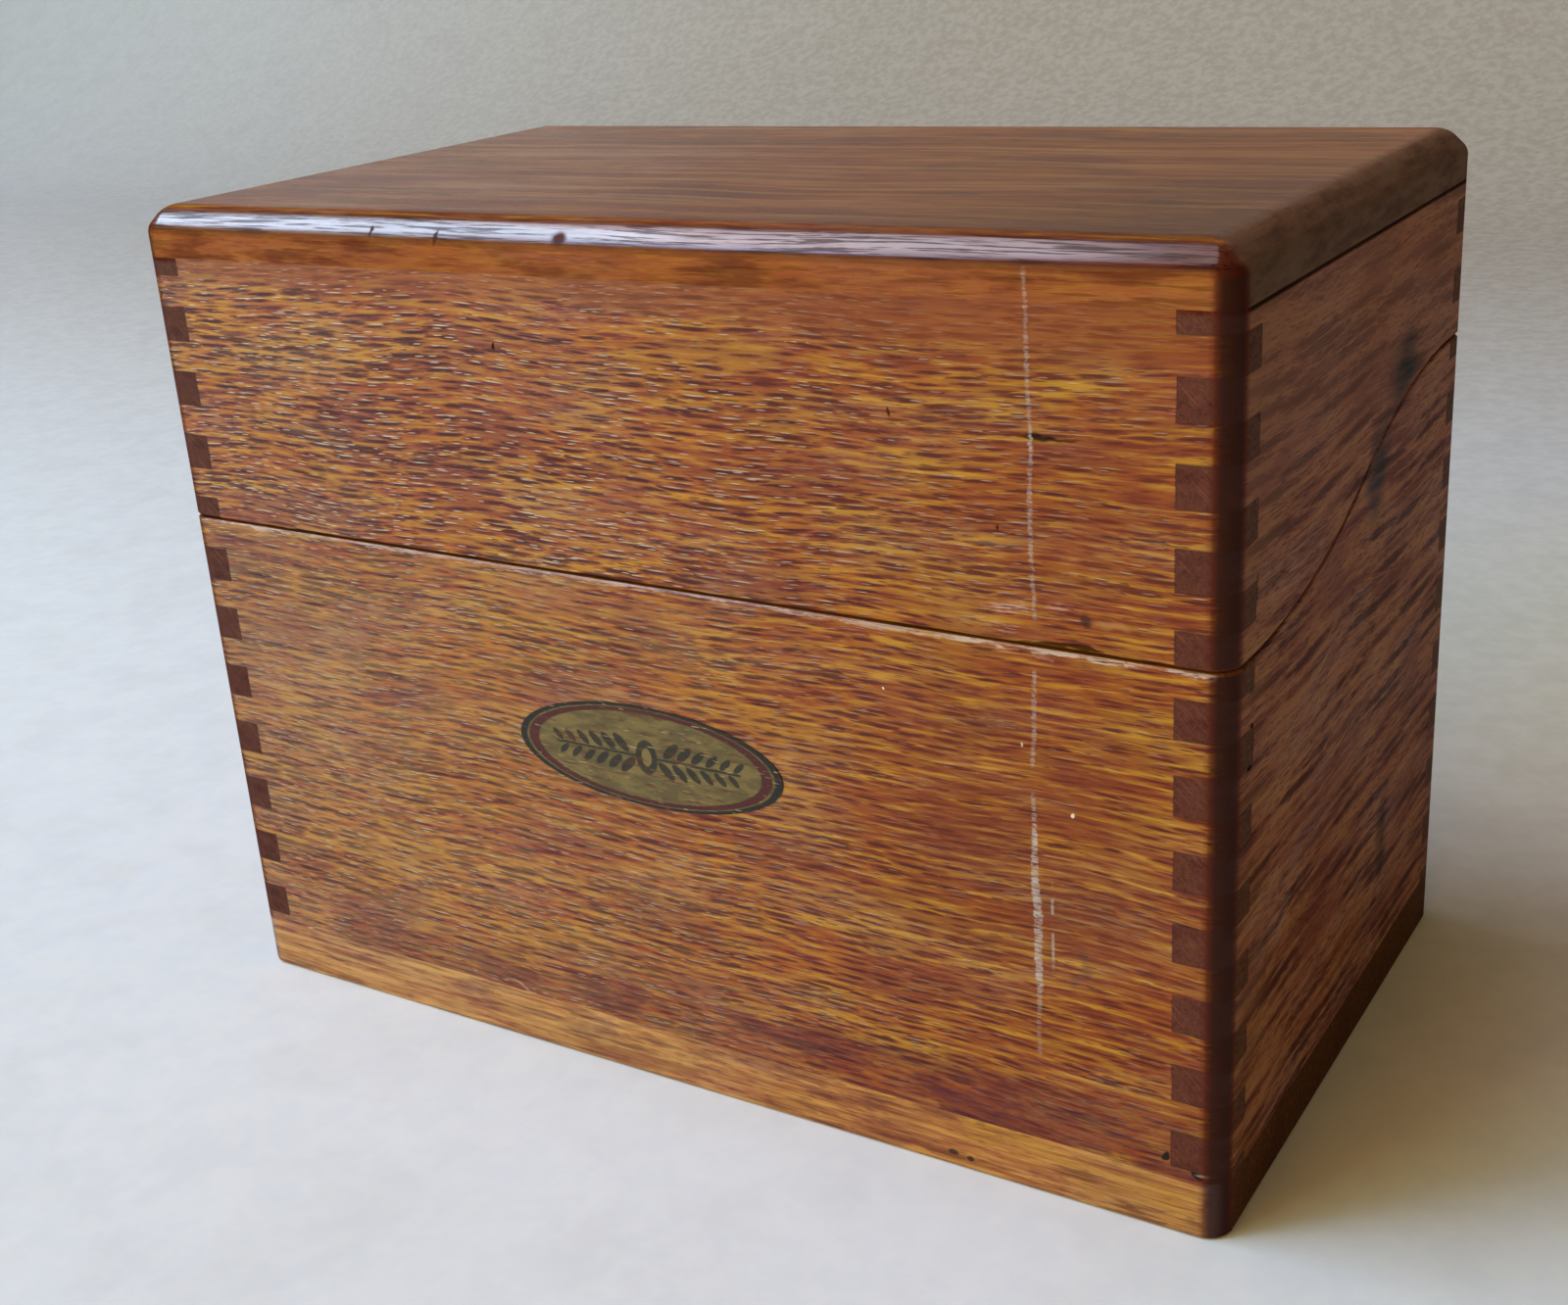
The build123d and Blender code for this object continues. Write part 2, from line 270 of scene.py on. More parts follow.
        # The varnish has gone milky in patches, and most between the pores
        milky = noise(self.wood, grain, *self.MILKY, seed + 7, 2).eased(0.42, 0.66)
        self.lay("b3a29c", milky * self.fibres.eased(0.38, 0.6) * 0.16)

        self.dulled = self.pore * 0.3
        self.height = self.streaks * 0.5 - self.pore * 0.8

    def lay(self, tone, amount):
        """Lay a colour over what is there by an amount from 0 to 1."""
        self.surface = overlay(self.surface, colour(tone), amount)

    def end_grain(self, tone, dark):
        """Where the board's ends show, cut pores make specks, and the wood has drunk more stain."""
        ends = self.flat[self.grain].eased(0.55, 0.8)
        rings = noise(self.place, self.grain, *self.RINGS, self.seed + 8, 3)
        specks = noise(self.place, self.grain, *self.SPECKS, self.seed + 9, 1)
        end_wood = overlay(colour(tone), colour(dark), rings.eased(0.4, 0.7) * 0.6)
        end_wood = overlay(end_wood, colour(dark), specks.eased(0.52, 0.68) * 0.7)
        self.surface = overlay(self.surface, end_wood, ends * 0.9)
        self.height = self.height * (1 - ends) - specks * ends * 0.5
        return ends

    def bare_inside(self):
        """The faces inside the box were never stained: pale dry oak, darker towards its corners."""
        from_middle_x = abs(self.x)
        from_middle_y = abs(self.y - CASE_MIDDLE_Y)
        inside = from_middle_x.eased(INNER_HALF_WIDTH + HAIR, INNER_HALF_WIDTH)
        inside = inside * from_middle_y.eased(INNER_HALF_DEPTH + HAIR, INNER_HALF_DEPTH)
        inside = inside * self.z.eased(WALLS_FROM - HAIR, WALLS_FROM)
        inside = inside * self.z.eased(WALLS_TO + HAIR, WALLS_TO)
        tone = self.bands * 0.3 + self.streaks * 0.4 + self.fibres * 0.3
        bare = overlay(colour("94683c"), colour("c39a66"), tone.eased(0.4, 0.6))
        bare = overlay(bare, colour("5f3e20"), self.pore * 0.6)
        by_side = from_middle_x.eased(INNER_HALF_WIDTH - CORNER_DARKENING, INNER_HALF_WIDTH)
        by_end = from_middle_y.eased(INNER_HALF_DEPTH - CORNER_DARKENING, INNER_HALF_DEPTH)
        by_floor = self.z.eased(WALLS_FROM + FLOOR_DARKENING, WALLS_FROM)
        corners = together(by_side * by_end, by_side * by_floor, by_end * by_floor)
        bare = overlay(bare, colour("4a3322"), corners * self.patches.eased(0.2, 0.7) * 0.6)
        self.surface = overlay(self.surface, bare, inside)
        self.dulled = self.dulled.most(inside)

    def varnish(self, rubbed, shine=1.5):
        """Varnish the board, polished by hands where it is rubbed, and put its material on it."""
        finish = {
            "Base Color": self.surface,
            "Roughness": self.dulled * 0.35 + 0.35,
            "Specular IOR Level": 0.0,
            "Coat Weight": rubbed * (1 - self.dulled),
            "Coat Roughness": 0.15,
            "Coat IOR": shine,
            "Normal": bumpy(self.height, 0.6, 0.00006),
        }
        give_finish(self.material, self.place, finish)
        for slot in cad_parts[self.node].material_slots:
            slot.material = self.material


def spot(place, at, reach, soft=0.5):
    """1 in a spot and 0 outside, fading over its outer part."""
    return far_from(place, at, reach).eased(1.0, 1.0 - soft)


def front_spot(place, x, z, half_width, half_height, soft=0.5):
    """A spot on the front of the box."""
    return spot(place, (x, FRONT_FACE, z), (half_width, THROUGH, half_height), soft)


def together(*masks):
    """Several masks as one, the strongest of them at each place."""
    joined = masks[0]
    for mask in masks[1:]:
        joined = joined.most(mask)
    return joined


def corner_grime_and_shade(oak):
    """Grime from hands and painted shade darken the upright corners, most of all the right front
    one.
    """
    rounding = oak.flat["X"] * oak.flat["Y"]
    right_front = oak.x.eased(-0.01, 0.01) * oak.y.eased(0.01, -0.01)
    oak.lay("582418", rounding.eased(0.04, 0.25) * (0.3 + 0.4 * right_front))
    corner = rounding.eased(0.15, 0.42)
    oak.lay("38201a", corner * (0.5 + 0.42 * right_front) * oak.patches.eased(-0.4, 0.5))
    return rounding.eased(0.05, 0.25)


PALE_TONES = ("cb964c", "ab6c3c", "7c4030", "42261f")
LONG_FINE_PORES = (0.0085, 0.0007)

bottom = Oak("bottom_board", "X", 3.1, PALE_TONES, LONG_FINE_PORES, filled=0.5)
bottom.lay("d0a468", bottom.x.eased(0.03, -0.05) * bottom.streaks.eased(0.4, 0.6) * 0.5)
red_streaks = noise(bottom.wood, "X", 0.03, 0.0011, 7.0, 3, 0.6)
bottom.lay("7c3e1c", red_streaks.eased(0.5, 0.64) * 0.5)

# Two small nail marks show in its front edge
nail_marks = together(
    front_spot(bottom.place, 0.0394, 0.0019, 0.0009, 0.0005),
    front_spot(bottom.place, 0.0416, 0.0016, 0.0006, 0.0005),
)
bottom.lay("1e100a", nail_marks * 0.85)
bottom.end_grain("4c2a1a", "2a150e")

# Its underside is dry and grey-brown from the shelves that it has stood on
underside = bottom.facing["Z"].eased(-0.8, -0.95)
bottom.lay("7a5634", underside * 0.75)
bottom.lay("3a2618", underside * bottom.patches.eased(0.45, 0.7) * 0.5)
bottom.dulled = bottom.dulled.most(underside)
corner_grime_and_shade(bottom)
bottom.bare_inside()
long_edges = bottom.flat["Y"].eased(0.5, 0.9)
bottom.varnish(long_edges * (0.8 - bottom.x.eased(-0.03, 0.06) * 0.4) + 0.1)

# ---------------------------------------------------------------------------------------------
# Front board. Plain-sawn oak, its grain level, cut by the saw into a base half and a lid half. Its
# ends are fingers glued between the side boards' own. Stained and varnished, and worn most along
# the saw cut, where fingertips lift the lid.

BOX_HALF_WIDTH = 0.072
FINGER_PITCH = 0.0084
FINGER = 0.0044
BASE_FINGERS_FROM = 0.00855
LID_FINGERS_FROM = 0.066
GLUE_LINE = (0.00018, 0.00005)
SEAM_RIGHT = 0.0663  # the base's sawn edge at the right, a little lower than at the left
SEAM_FALL = 0.0011 / 0.144
SAW_CUT = 0.00035
SCRATCH_X = 0.0507
FINGER_END = "5c3c2e"
FINGER_PORES = "3a251c"
GLUE = "1a0b08"


def glue_lines(oak, first):
    """Thin dark lines round the fingers, where two boards meet at a corner."""
    up = oak.z - (first + FINGER / 2)
    from_middle = up.math("PINGPONG", up, FINGER_PITCH / 2)
    level = abs(from_middle - FINGER / 2).eased(*GLUE_LINE)
    beside_side_finger = from_middle.eased(FINGER / 2 + HAIR, FINGER / 2)
    past_x = abs(oak.x) - INNER_HALF_WIDTH
    past_y = abs(oak.y - CASE_MIDDLE_Y) - INNER_HALF_DEPTH
    in_corner = past_x.eased(-HAIR, HAIR) * past_y.eased(-HAIR, HAIR)
    upright = together(
        abs(past_x).eased(*GLUE_LINE) * oak.flat["Y"] * beside_side_finger,
        abs(past_y).eased(*GLUE_LINE) * oak.flat["X"] * (1 - beside_side_finger),
    )
    return (level * in_corner).most(upright) * oak.patches.eased(0.2, 0.55)


def front_face(oak):
    """1 on the board's front face and 0 on its others."""
    return oak.facing["Y"].eased(-0.9, -0.98)


def front_edges(oak):
    """1 on the board's front face and on the softened edges round it."""
    return oak.facing["Y"].eased(-0.4, -0.7)


def seam_height(oak):
    """How high the base's sawn edge lies in front, above or below each place."""
    return (BOX_HALF_WIDTH - oak.x) * SEAM_FALL + SEAM_RIGHT


def sawn_edges(oak, tone):
    """The saw cut's level edges were stained once, then worn plain by the lid."""
    sawn = oak.flat["Z"].eased(0.6, 0.9)
    oak.lay(tone, sawn * 0.8)
    oak.lay("5a3420", sawn * oak.streaks.eased(0.48, 0.6) * 0.5)


def front_scratch(oak):
    """A long upright scratch down the front, wide low down, dried white and lying in dashes."""
    # It wavers on its way, has ragged edges, and is nearly twice as wide low down
    sway = noise(oak.place, "Z", 0.014, 1.0, 61.0, 1) - 0.5
    ragged = noise(oak.place, "X", 0.0007, 0.00035, 63.0, 2) - 0.5
    off_line = abs(oak.x - SCRATCH_X - sway * 0.0016) + ragged * 0.0008
    half_width = oak.z.eased(0.05, 0.036) * oak.z.eased(0.022, 0.032) * 0.00026 + 0.00034
    line = (half_width - off_line).eased(0.0, 0.00026)

    # It starts faintly above the bottom board, ends on the top board's edge, and misses two places
    line = line * (oak.z.eased(0.0172, 0.019) * 0.35 + oak.z.eased(0.023, 0.028) * 0.65)
    line = line * oak.z.eased(0.1056, 0.1046)
    gaps = together(
        front_spot(oak.place, 0.051, 0.0668, 0.01, 0.0032, 0.2),
        front_spot(oak.place, 0.051, 0.0515, 0.01, 0.0018, 0.4),
    )

    # The fibres break it into dashes, and it is strongest low down and in one place higher up
    dashes = noise(oak.place, "X", 0.0012, 0.00028, 62.0, 2, 0.7).eased(0.32, 0.6)
    dashes = dashes * (oak.fibres.eased(0.35, 0.6) * 0.6 + 0.4)
    strength = front_spot(oak.place, 0.051, 0.0881, 0.01, 0.0018) * 0.4
    strength = strength + oak.z.eased(0.05, 0.044) * 0.45 + 0.5

    # A finer scratch runs beside its wide part
    beside = abs(oak.x - 0.0525).eased(0.00022, 0.0001)
    beside = beside * front_spot(oak.place, 0.0525, 0.0345, 0.01, 0.006)
    beside = beside * noise(oak.place, "X", 0.003, 0.0012, 64.0, 1).eased(0.45, 0.55)
    scratch = line * (1 - gaps) * dashes * strength
    return scratch.most(beside * 0.5) * front_face(oak)


base_front = Oak("base_front", "X", 11.7)
lid_front = Oak("lid_front", "X", 11.7)

# Handling has rubbed the base half yellower, and painted highlights lie along both halves' pores
rubbed_left = base_front.x.eased(0.035, -0.015) * front_face(base_front)
base_front.lay("b08c50", rubbed_left * base_front.streaks.eased(0.35, 0.6) * 0.28)
lid_front.lay("e0d2c6", lid_front.glints * (0.9 - 0.35 * lid_front.x.eased(-0.02, 0.06)))
base_front.lay("d2beb0", base_front.glints * (0.75 - 0.35 * base_front.x.eased(-0.02, 0.06)))

# Under the top board's edge the stain was wiped on evenly, and lies orange-brown
strip_edge = lid_front.x.eased(-0.01, 0.06) * 0.003 + (lid_front.patches - 0.5) * 0.004
strip = (lid_front.z + strip_edge).eased(0.0975, 0.101) * front_face(lid_front)
lid_front.lay("96501e", strip * 0.6)
lid_front.lay("5c2014", strip * lid_front.streaks.eased(0.5, 0.64) * 0.6)

# Both halves are deeper in colour at the right, and a dull bloom lies low on their left
for front in (base_front, lid_front):
    deep_right = front.x.eased(-0.01, 0.06) * front_face(front)
    front.lay("7c3606", deep_right * front.streaks.eased(0.7, 0.4) * 0.5)
    bloom_place = swayed(front.place, (0.012, 0, 0.008), 0.02, 70.0)
    bloom = front_spot(bloom_place, -0.057, 0.05, 0.034, 0.033, 0.9)
    front.lay("9c8a80", bloom * front.fibres.eased(0.3, 0.6) * 0.2)

# The base half is browner round the scratch. Its marks all have the same uneven outlines
stain_place = swayed(base_front.place, (0.003, 0, 0.002), 0.006, 73.0)
scratched_side = front_spot(stain_place, 0.046, 0.042, 0.034, 0.03, 1.0)
base_front.lay("6e3210", scratched_side * base_front.streaks.eased(0.65, 0.4) * 0.45)

# Sweat and spills have left purple-brown blotches above the bottom board, worn through in places
blotch_place = swayed(base_front.place, (0.002, 0, 0.001), 0.004, 71.0)
low_blotch = noise(blotch_place, "X", 0.014, 0.004, 72.0, 3, 0.6)
low_band = base_front.z.eased(0.0165, 0.011) * front_face(base_front)
low_band = low_band * (base_front.x.eased(-0.06, 0.01) * 0.5 + 0.5)
low_grain = base_front.streaks * 0.35 + base_front.fibres * 0.35
base_front.lay("6c1f16", low_band * low_blotch.eased(0.4, 0.58) * 0.4)
base_front.lay("481226", low_band * (low_blotch * 0.3 + low_grain).eased(0.49, 0.56) * 0.7)
dark_stain = together(
    front_spot(stain_place, 0.0535, 0.0115, 0.0042, 0.0022, 0.8),
    front_spot(stain_place, 0.025, 0.0105, 0.011, 0.0022, 0.8),
    front_spot(stain_place, -0.045, 0.0105, 0.014, 0.0018, 0.8),
)
base_front.lay("3c101e", dark_stain * (low_grain + 0.15).eased(0.47, 0.56) * 0.6)
purple_scuff = front_spot(stain_place, 0.0455, 0.0574, 0.0052, 0.0016, 0.7)
base_front.lay("4a2030", purple_scuff * base_front.streaks.eased(0.3, 0.6) * 0.6)
base_front.lay("b98e84", purple_scuff * base_front.fibres.eased(0.55, 0.68) * 0.6)

# Chips are missing beside the lowest finger, and painted shade darkens their hollows. The joint
# under them shows white
chips = together(
    front_spot(stain_place, 0.0657, 0.0096, 0.0006, 0.0007, 0.3),
    front_spot(stain_place, 0.0686, 0.0083, 0.0007, 0.0005, 0.3),
)
base_front.lay("0c0705", chips * 0.95)
base_front.height = base_front.height - chips * 6
white_joint = front_spot(base_front.place, 0.0702, 0.00815, 0.0018, 0.00025, 0.6)
base_front.lay("c8b8ae", white_joint * 0.7)

# Fingertips have worn the lower edge of the saw cut pale, and a pale highlight is painted along it
below_seam = seam_height(base_front) - base_front.z
wear_place = swayed(base_front.place, (0.001, 0, 0.0003), 0.002, 74.0)
wear_lumps = noise(wear_place, "X", 0.006, 0.0009, 75.0, 3, 0.65)
worn_left = base_front.x.eased(-0.05, -0.06)
worn_right = base_front.x.eased(0.036, 0.044) * 0.9
wear_where = together(worn_left, worn_right, 0.5)
wear_depth = 0.0013 * wear_lumps.eased(0.4, 0.7) * wear_where + 0.00028
worn_edge_and_highlight = (wear_depth - below_seam).eased(0.0, 0.0003) * front_edges(base_front)
base_front.lay("b88f80", worn_edge_and_highlight * base_front.fibres.eased(0.35, 0.6) * 0.7)
white_wear_and_highlight = (wear_lumps.eased(0.45, 0.6) * 0.0007 - below_seam).eased(0.0, 0.0002) * wear_where
white_wear_and_highlight = white_wear_and_highlight * front_edges(base_front)
base_front.lay("d6c2b8", white_wear_and_highlight * base_front.fibres.eased(0.35, 0.5) * 0.8)

# Grime and painted shade darken the lid's lower edge along the seam, most at the right
above_seam = lid_front.z - seam_height(lid_front) - SAW_CUT
shade_and_grime_place = swayed(lid_front.place, (0.001, 0, 0.0003), 0.002, 76.0)
shade_and_grime_lumps = noise(shade_and_grime_place, "X", 0.011, 0.0012, 77.0, 2)
shade_and_grime_where = front_spot(lid_front.place, 0.0575, 0.067, 0.011, 0.01, 0.6) * 0.9 + 0.25
shade_and_grime_height = shade_and_grime_lumps.eased(0.45, 0.7) * 0.0009 * shade_and_grime_where + 0.00008
seam_shade_and_grime = (shade_and_grime_height - above_seam).eased(0.0, 0.0003)
seam_shade_and_grime = seam_shade_and_grime * front_edges(lid_front) * lid_front.fibres.eased(0.25, 0.45)
lid_front.lay("180d0a", seam_shade_and_grime * 0.85)
lid_front.dulled = lid_front.dulled.most(seam_shade_and_grime)

# Something hard has scuffed the lid just above the seam, through to paler wood
scuff_place = swayed(lid_front.place, (0.0016, 0, 0.0008), 0.0028, 78.0)
pale_scuffs = together(
    front_spot(scuff_place, 0.048, 0.0705, 0.0034, 0.0012, 0.7),
    front_spot(scuff_place, 0.0475, 0.0683, 0.0024, 0.0007, 0.7),
    front_spot(scuff_place, 0.0535, 0.0712, 0.0026, 0.0008, 0.7) * 0.7,
)
lid_front.lay("c7a196", pale_scuffs * lid_front.fibres.eased(0.45, 0.6) * 0.8)
lid_front.lay("38202a", pale_scuffs * lid_front.fibres.eased(0.45, 0.3) * 0.6)
lid_front.lay("3c1c0e", front_spot(scuff_place, 0.0569, 0.0698, 0.0013, 0.0009, 0.6) * 0.8)
lid_front.lay("b9854a", front_spot(scuff_place, 0.0598, 0.0698, 0.0026, 0.0007, 0.7) * 0.65)

# Small dents, burns and splinters in the lid, and specks of white paint on the base
for x, z, half_width, half_height, tone in (
    (0.0523, 0.0886, 0.0048, 0.00042, "121013"),
    (-0.0157, 0.0936, 0.0004, 0.00065, "2a0d08"),
    (0.0349, 0.0900, 0.00045, 0.0006, "33100a"),
    (0.0471, 0.0789, 0.0003, 0.0005, "2a0d08"),
):
    mark = front_spot(scuff_place, x, z, half_width, half_height, 0.7)
    mark = mark * lid_front.fibres.eased(0.3, 0.42)
    lid_front.lay(tone, mark * 0.9)
    lid_front.dulled = lid_front.dulled.most(mark)
white_specks = together(
    front_spot(stain_place, 0.0555, 0.0483, 0.00034, 0.00034, 0.4),
    front_spot(stain_place, 0.0341, 0.0594, 0.00022, 0.00022, 0.4),
    front_spot(stain_place, 0.0495, 0.0554, 0.00016, 0.0005, 0.4) * 0.6,
)
base_front.lay("efe8da", white_specks * 0.9)

# The joint with the bottom board is worn pale in two places, and soot is smeared by the scratch
worn_joint = together(
    front_spot(stain_place, -0.063, 0.0074, 0.0062, 0.00032, 0.7),
    front_spot(stain_place, -0.0245, 0.0074, 0.0056, 0.00026, 0.7) * 0.7,
)
base_front.lay("d9b48e", worn_joint * base_front.fibres.eased(0.4, 0.55) * 0.7)
sooty = front_spot(stain_place, 0.0552, 0.0300, 0.0008, 0.0044, 0.9)
base_front.lay("3c353a", sooty * base_front.fibres.eased(0.35, 0.6) * 0.45)

# Over all of these marks come the edges, the joints, the bare inside and the varnish
for front, first_finger in ((base_front, BASE_FINGERS_FROM), (lid_front, LID_FINGERS_FROM)):
    sawn_edges(front, "8a5830")
    front.lay("bdb6bc", front_scratch(front))
    front.lay(GLUE, glue_lines(front, first_finger) * 0.6)
    front.end_grain(FINGER_END, FINGER_PORES)
    corner = corner_grime_and_shade(front)
    front.bare_inside()
    polish = 0.85 - front.x.eased(-0.03, 0.06) * 0.4
    front.varnish(front.facing["Y"].eased(-0.5, -0.9) * (1 - corner) * polish + 0.08)

# ---------------------------------------------------------------------------------------------
# Back board. Oak like the front, cut level near its top, so that its lid half is low. The hinges
# are let into both of the sawn edges. Kept to a wall or shelf, it is little worn.

for half, first_finger in (("base", BASE_FINGERS_FROM), ("lid", LID_FINGERS_FROM)):
    back = Oak(f"{half}_back", "X", 23.3)
    # Faint painted highlights along the pores
    back.lay("d2beb2", back.glints * 0.3)
    back.lay("3a2014", back.bands.eased(0.4, 0.7) * 0.3)
    sawn_edges(back, "80502e")
    back.lay(GLUE, glue_lines(back, first_finger) * 0.6)
    back.end_grain(FINGER_END, FINGER_PORES)
    corner_grime_and_shade(back)
    back.bare_inside()
    back.varnish(back.facing["Y"].eased(0.5, 0.9) * 0.3 + 0.1)

# ---------------------------------------------------------------------------------------------
# Side boards. Oak with its grain running front to back, in longer, darker lines, and rosier than
# the front. The saw cut sweeps up each one. Their fingers' ends show on the front and the back.

SIDE_TONES = ("a87048", "93583a", "713628", "3a1a19")
LONG_PORES = (0.017, 0.0024)


def side_spot(place, y, z, half_width, half_height, soft):
    """A spot on the right side of the box."""
    return spot(place, (BOX_HALF_WIDTH, y, z), (THROUGH, half_width, half_height), soft)


def water_marks(board):
    """Water that ran in at the saw cut has turned the tannin blue-black."""
    wet = swayed(board.place, (0, 0.006, 0.004), 0.012, 81.0, "Y")
    return together(
        side_spot(wet, 0.0125, 0.0835, 0.0105, 0.0062, 0.8),
        side_spot(wet, 0.0035, 0.0745, 0.0068, 0.0075, 0.8) * 0.9,
        side_spot(wet, 0.014, 0.025, 0.0055, 0.0105, 0.9) * 0.7,
    )


def open_joints(board):
    """Round the ends of some front fingers the glue has let go, and their gaps hold painted shade.
    """
    gap_place = swayed(board.place, (0, 0.0004, 0.0004), 0.0016, 85.0, "Y")
    return together(
        side_spot(gap_place, -0.03675, 0.0569, 0.00026, 0.0022, 0.6),
        side_spot(gap_place, -0.0377, 0.0547, 0.0013, 0.00036, 0.6),
        side_spot(gap_place, -0.0372, 0.0592, 0.0006, 0.00042, 0.6),
        side_spot(gap_place, -0.0373, 0.0632, 0.0015, 0.00042, 0.6) * 0.6,
        side_spot(gap_place, -0.0366, 0.0735, 0.00032, 0.0024, 0.6) * 0.6,
        side_spot(gap_place, -0.0376, 0.0499, 0.0005, 0.00055, 0.6) * 0.8,
        side_spot(gap_place, -0.0373, 0.0074, 0.0007, 0.00045, 0.6) * 0.9,
    )


for side, seed, finger_tone in (("left", 31.9, "4c241c"), ("right", 38.9, "5c2c20")):
    for half, first_finger in (("base", BASE_FINGERS_FROM), ("lid", LID_FINGERS_FROM)):
        board = Oak(f"{half}_{side}_side", "Y", seed, SIDE_TONES, LONG_PORES, filled=0.9)
        outer_face = board.flat["X"].eased(0.9, 0.98)
        front_end = outer_face * board.y.eased(-0.024, -0.04)
        board.lay("9a6a3a", front_end * board.bands.eased(0.4, 0.6) * 0.35)
        if side == "right":
            # The right side is painted paler high up: painted light
            board.lay("9a6a52", outer_face * board.z.eased(0.068, 0.095) * 0.4)
            soaked = water_marks(board) * outer_face
            board.lay("1d1f24", soaked * (board.streaks.eased(0.3, 0.7) * 0.4 + 0.6))
            # Painted shade in the open joints' gaps
            gap = open_joints(board)
            board.lay("090605", gap * outer_face * 0.95)
            board.dulled = board.dulled.most(gap)

        # The saw cut's own edges were stained once, then worn plain by the lid
        from_middle_y = abs(board.y - CASE_MIDDLE_Y)
        sawn = board.flat["X"].eased(0.6, 0.3)
        sawn = sawn * from_middle_y.eased(INNER_HALF_DEPTH + 0.0055, INNER_HALF_DEPTH + 0.005)
        board.lay("80502e", sawn * 0.7)
        board.lay("5a3420", sawn * board.fibres.eased(0.5, 0.62) * 0.5)

        # A dark line is painted under the top board's edge: a glue line, and painted shade in the
        # joint
        under_top = board.z.eased(WALLS_TO - 0.0007, WALLS_TO - 0.0003)
        board.lay("0d0705", under_top * outer_face * 0.9)
        board.dulled = board.dulled.most(under_top)
        board.lay(GLUE, glue_lines(board, first_finger) * 0.6)
        ends = board.end_grain(finger_tone, "3c1b14")

        # The block that smoothed the joints left fine slanting lines across the fingers
        slanting = {0: board.x + board.z, 1: board.x - board.z}
        slant = board.place.node("ShaderNodeCombineXYZ", None, slanting)
        sanding = noise(slant, "Y", 0.006, 0.00022, 83.0, 1).eased(0.6, 0.72)
        board.lay("8a5138", sanding * ends * 0.45)
        corner = corner_grime_and_shade(board)
        board.bare_inside()
        board.varnish(ends * (1 - corner) * 0.25 + 0.15)

# ---------------------------------------------------------------------------------------------
# Top board. One oak board glued over the four walls, planed flush with them. Its upper edge is
# bevelled and polished by hands, dented in front, and its ends are dark with old stain and polish.

TOP_GLOSS = 1.92

top = Oak("top_board", "X", 43.2, filled=0.4)
upper_face = top.facing["Z"].eased(0.9, 0.99)
front_edge = top.facing["Y"].eased(-0.3, -0.6)
bevel = front_edge * top.facing["Z"].eased(0.25, 0.5)

# The front edge is stained like the lid's front, with darker clouds
top.lay("9a5c38", front_edge * 0.6)
top.lay("5c2014", front_edge * top.streaks.eased(0.5, 0.64) * 0.6)
edge_clouds = noise(top.place, "X", 0.012, 0.0022, 91.0, 3, 0.6)
top.lay("4a1a14", front_edge * edge_clouds.eased(0.5, 0.66) * 0.55)

# The upper face is faded and handled: rosy brown, clouded, and barred by its arched growth lines
top.lay("7c4429", upper_face * 0.66)
top.lay("6a2a1e", upper_face * top.bands.eased(0.45, 0.65) * 0.35)
arched = swayed(top.place, (0, 0.007, 0), 0.05, 95.0)
top_clouds = noise(arched, "X", 0.028, 0.011, 98.0, 3, 0.6)
top.lay("43221a", upper_face * top_clouds.eased(0.48, 0.66) * 0.45)
faded_left = upper_face * top.x.eased(0.03, -0.05)
top.lay("a88a72", faded_left * top_clouds.eased(0.5, 0.34) * 0.25)
growth = noise(arched, "X", 0.07, 0.0024, 92.0, 3, 0.6)
top.lay("5e2c1c", upper_face * growth.eased(0.5, 0.62) * 0.45)
top.lay("9c7448", upper_face * growth.eased(0.47, 0.36) * 0.5)
dark_right = upper_face * (top.x - top.y).eased(0.03, 0.125)
top.lay("33211a", dark_right * top.patches.eased(0.0, 0.5) * 0.75)

# Knocks have dented the front edge in three places, and painted shade darkens the dents
dent_place = swayed(top.place, (0.0004, 0, 0.0003), 0.001, 93.0)
dents_and_shade = together(
    spot(dent_place, (-0.0052, -0.0422, 0.1059), (0.0014, 0.0012, 0.0015), 0.6),
    spot(dent_place, (-0.0227, -0.0424, 0.1057), (0.0004, 0.0012, 0.0012), 0.6),
    spot(dent_place, (-0.0327, -0.0424, 0.1061), (0.0004, 0.0012, 0.0010), 0.6),
)
top.lay("2e0f0c", dents_and_shade * 0.8)
top.height = top.height - dents_and_shade * 5

# The ends are grey-brown with old polish, worn in clouds
top.end_grain("583c2b", "33231b")
top_ends = top.flat["X"].eased(0.08, 0.45)
worn_ends = noise(top.place, "Y", 0.008, 0.0018, 97.0, 3, 0.65)
top.lay("6e5342", top_ends * (0.85 - front_edge * 0.5))
top.lay("3a251c", top_ends * worn_ends.eased(0.4, 0.7) * 0.5)
top.lay("6f5b48", top_ends * worn_ends.eased(0.5, 0.3) * 0.5)
top.lay("bdb6bc", front_scratch(top))
top_corner = corner_grime_and_shade(top)
top.bare_inside()

# Fine score marks run along the bevel, whose middle shines most and whose right end is worn dull
scored = noise(top.wood, "X", 0.012, 0.00032, 94.0, 3, 0.7).eased(0.48, 0.58)
top.height = top.height + noise(top.wood, "X", 0.012, 0.0014, 96.0, 2) * 2.5
